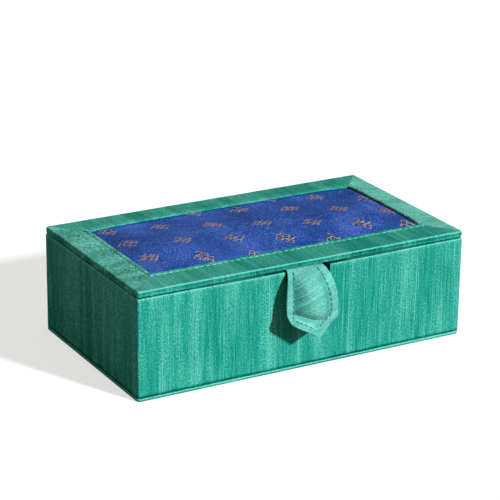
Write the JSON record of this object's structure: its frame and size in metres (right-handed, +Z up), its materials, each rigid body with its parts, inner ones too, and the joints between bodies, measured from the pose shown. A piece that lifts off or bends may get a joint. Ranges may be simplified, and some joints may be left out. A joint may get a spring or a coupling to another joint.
{
  "type": "jewelry organizer",
  "caption": "Silk-covered board box with a hinged brocade lid, a sewn pull tab, a divided lined inside and a bed of ring rolls.",
  "frame": {"origin": "centre of the box's underside, on the plane it stands on", "axes": "+X to the box's right along its width, +Y to the back where the lid is hinged, +Z up"},
  "size_m": [0.231, 0.1505, 0.07],
  "materials": {
    "green_silk": "slubbed raw silk, low sheen",
    "mint_silk": "slubbed raw silk on the stiffened tab, low sheen",
    "blue_brocade": "satin-faced brocade with small bronze woven motifs",
    "gold_lining": "smooth lining cloth on card",
    "cream_velvet": "short-pile velvet over foam",
    "white_wadding": "matt wadding and stiffener",
    "grey_board": "uncoated pressed board"
  },
  "bodies": {
    "box": {"base_cloth": "green_silk", "base_board": "grey_board", "front_board": "grey_board", "back_board": "grey_board", "left_board": "grey_board", "right_board": "grey_board", "wall_cloth": "green_silk", "floor_pad": "cream_velvet", "front_lining": "gold_lining", "back_lining": "gold_lining", "left_lining": "gold_lining", "right_lining": "gold_lining", "long_divider": "gold_lining", "left_divider": "gold_lining", "right_divider": "gold_lining", "ring_roll_1": "cream_velvet", "ring_roll_2": "cream_velvet", "ring_roll_3": "cream_velvet", "ring_roll_4": "cream_velvet", "ring_roll_5": "cream_velvet", "ring_roll_6": "cream_velvet", "ring_roll_7": "cream_velvet", "hinge_cloth": "green_silk"},
    "lid": {"lid_board": "grey_board", "lid_wadding": "white_wadding", "brocade_panel": "blue_brocade", "border_front": "green_silk", "border_back": "green_silk", "border_left": "green_silk", "border_right": "green_silk", "lid_lining": "gold_lining", "tab_root": "mint_silk"},
    "tab": {"tab_cloth": "mint_silk", "tab_core": "white_wadding"}
  },
  "joints": [
    {"name": "lid_open", "type": "hinge", "parent": "box", "child": "lid", "pos_m": [0, 0.0653, 0.0655], "axis": [-1, 0, 0], "range_deg": [0, 180], "deforming": ["hinge_cloth"]},
    {"name": "tab_lift", "type": "hinge", "parent": "lid", "child": "tab", "pos_m": [-0.0011, -0.06533, 0.06571], "axis": [-1, 0, 0], "range_deg": [-10, 100], "stiffness_Nm_per_rad": 0.003}
  ]
}
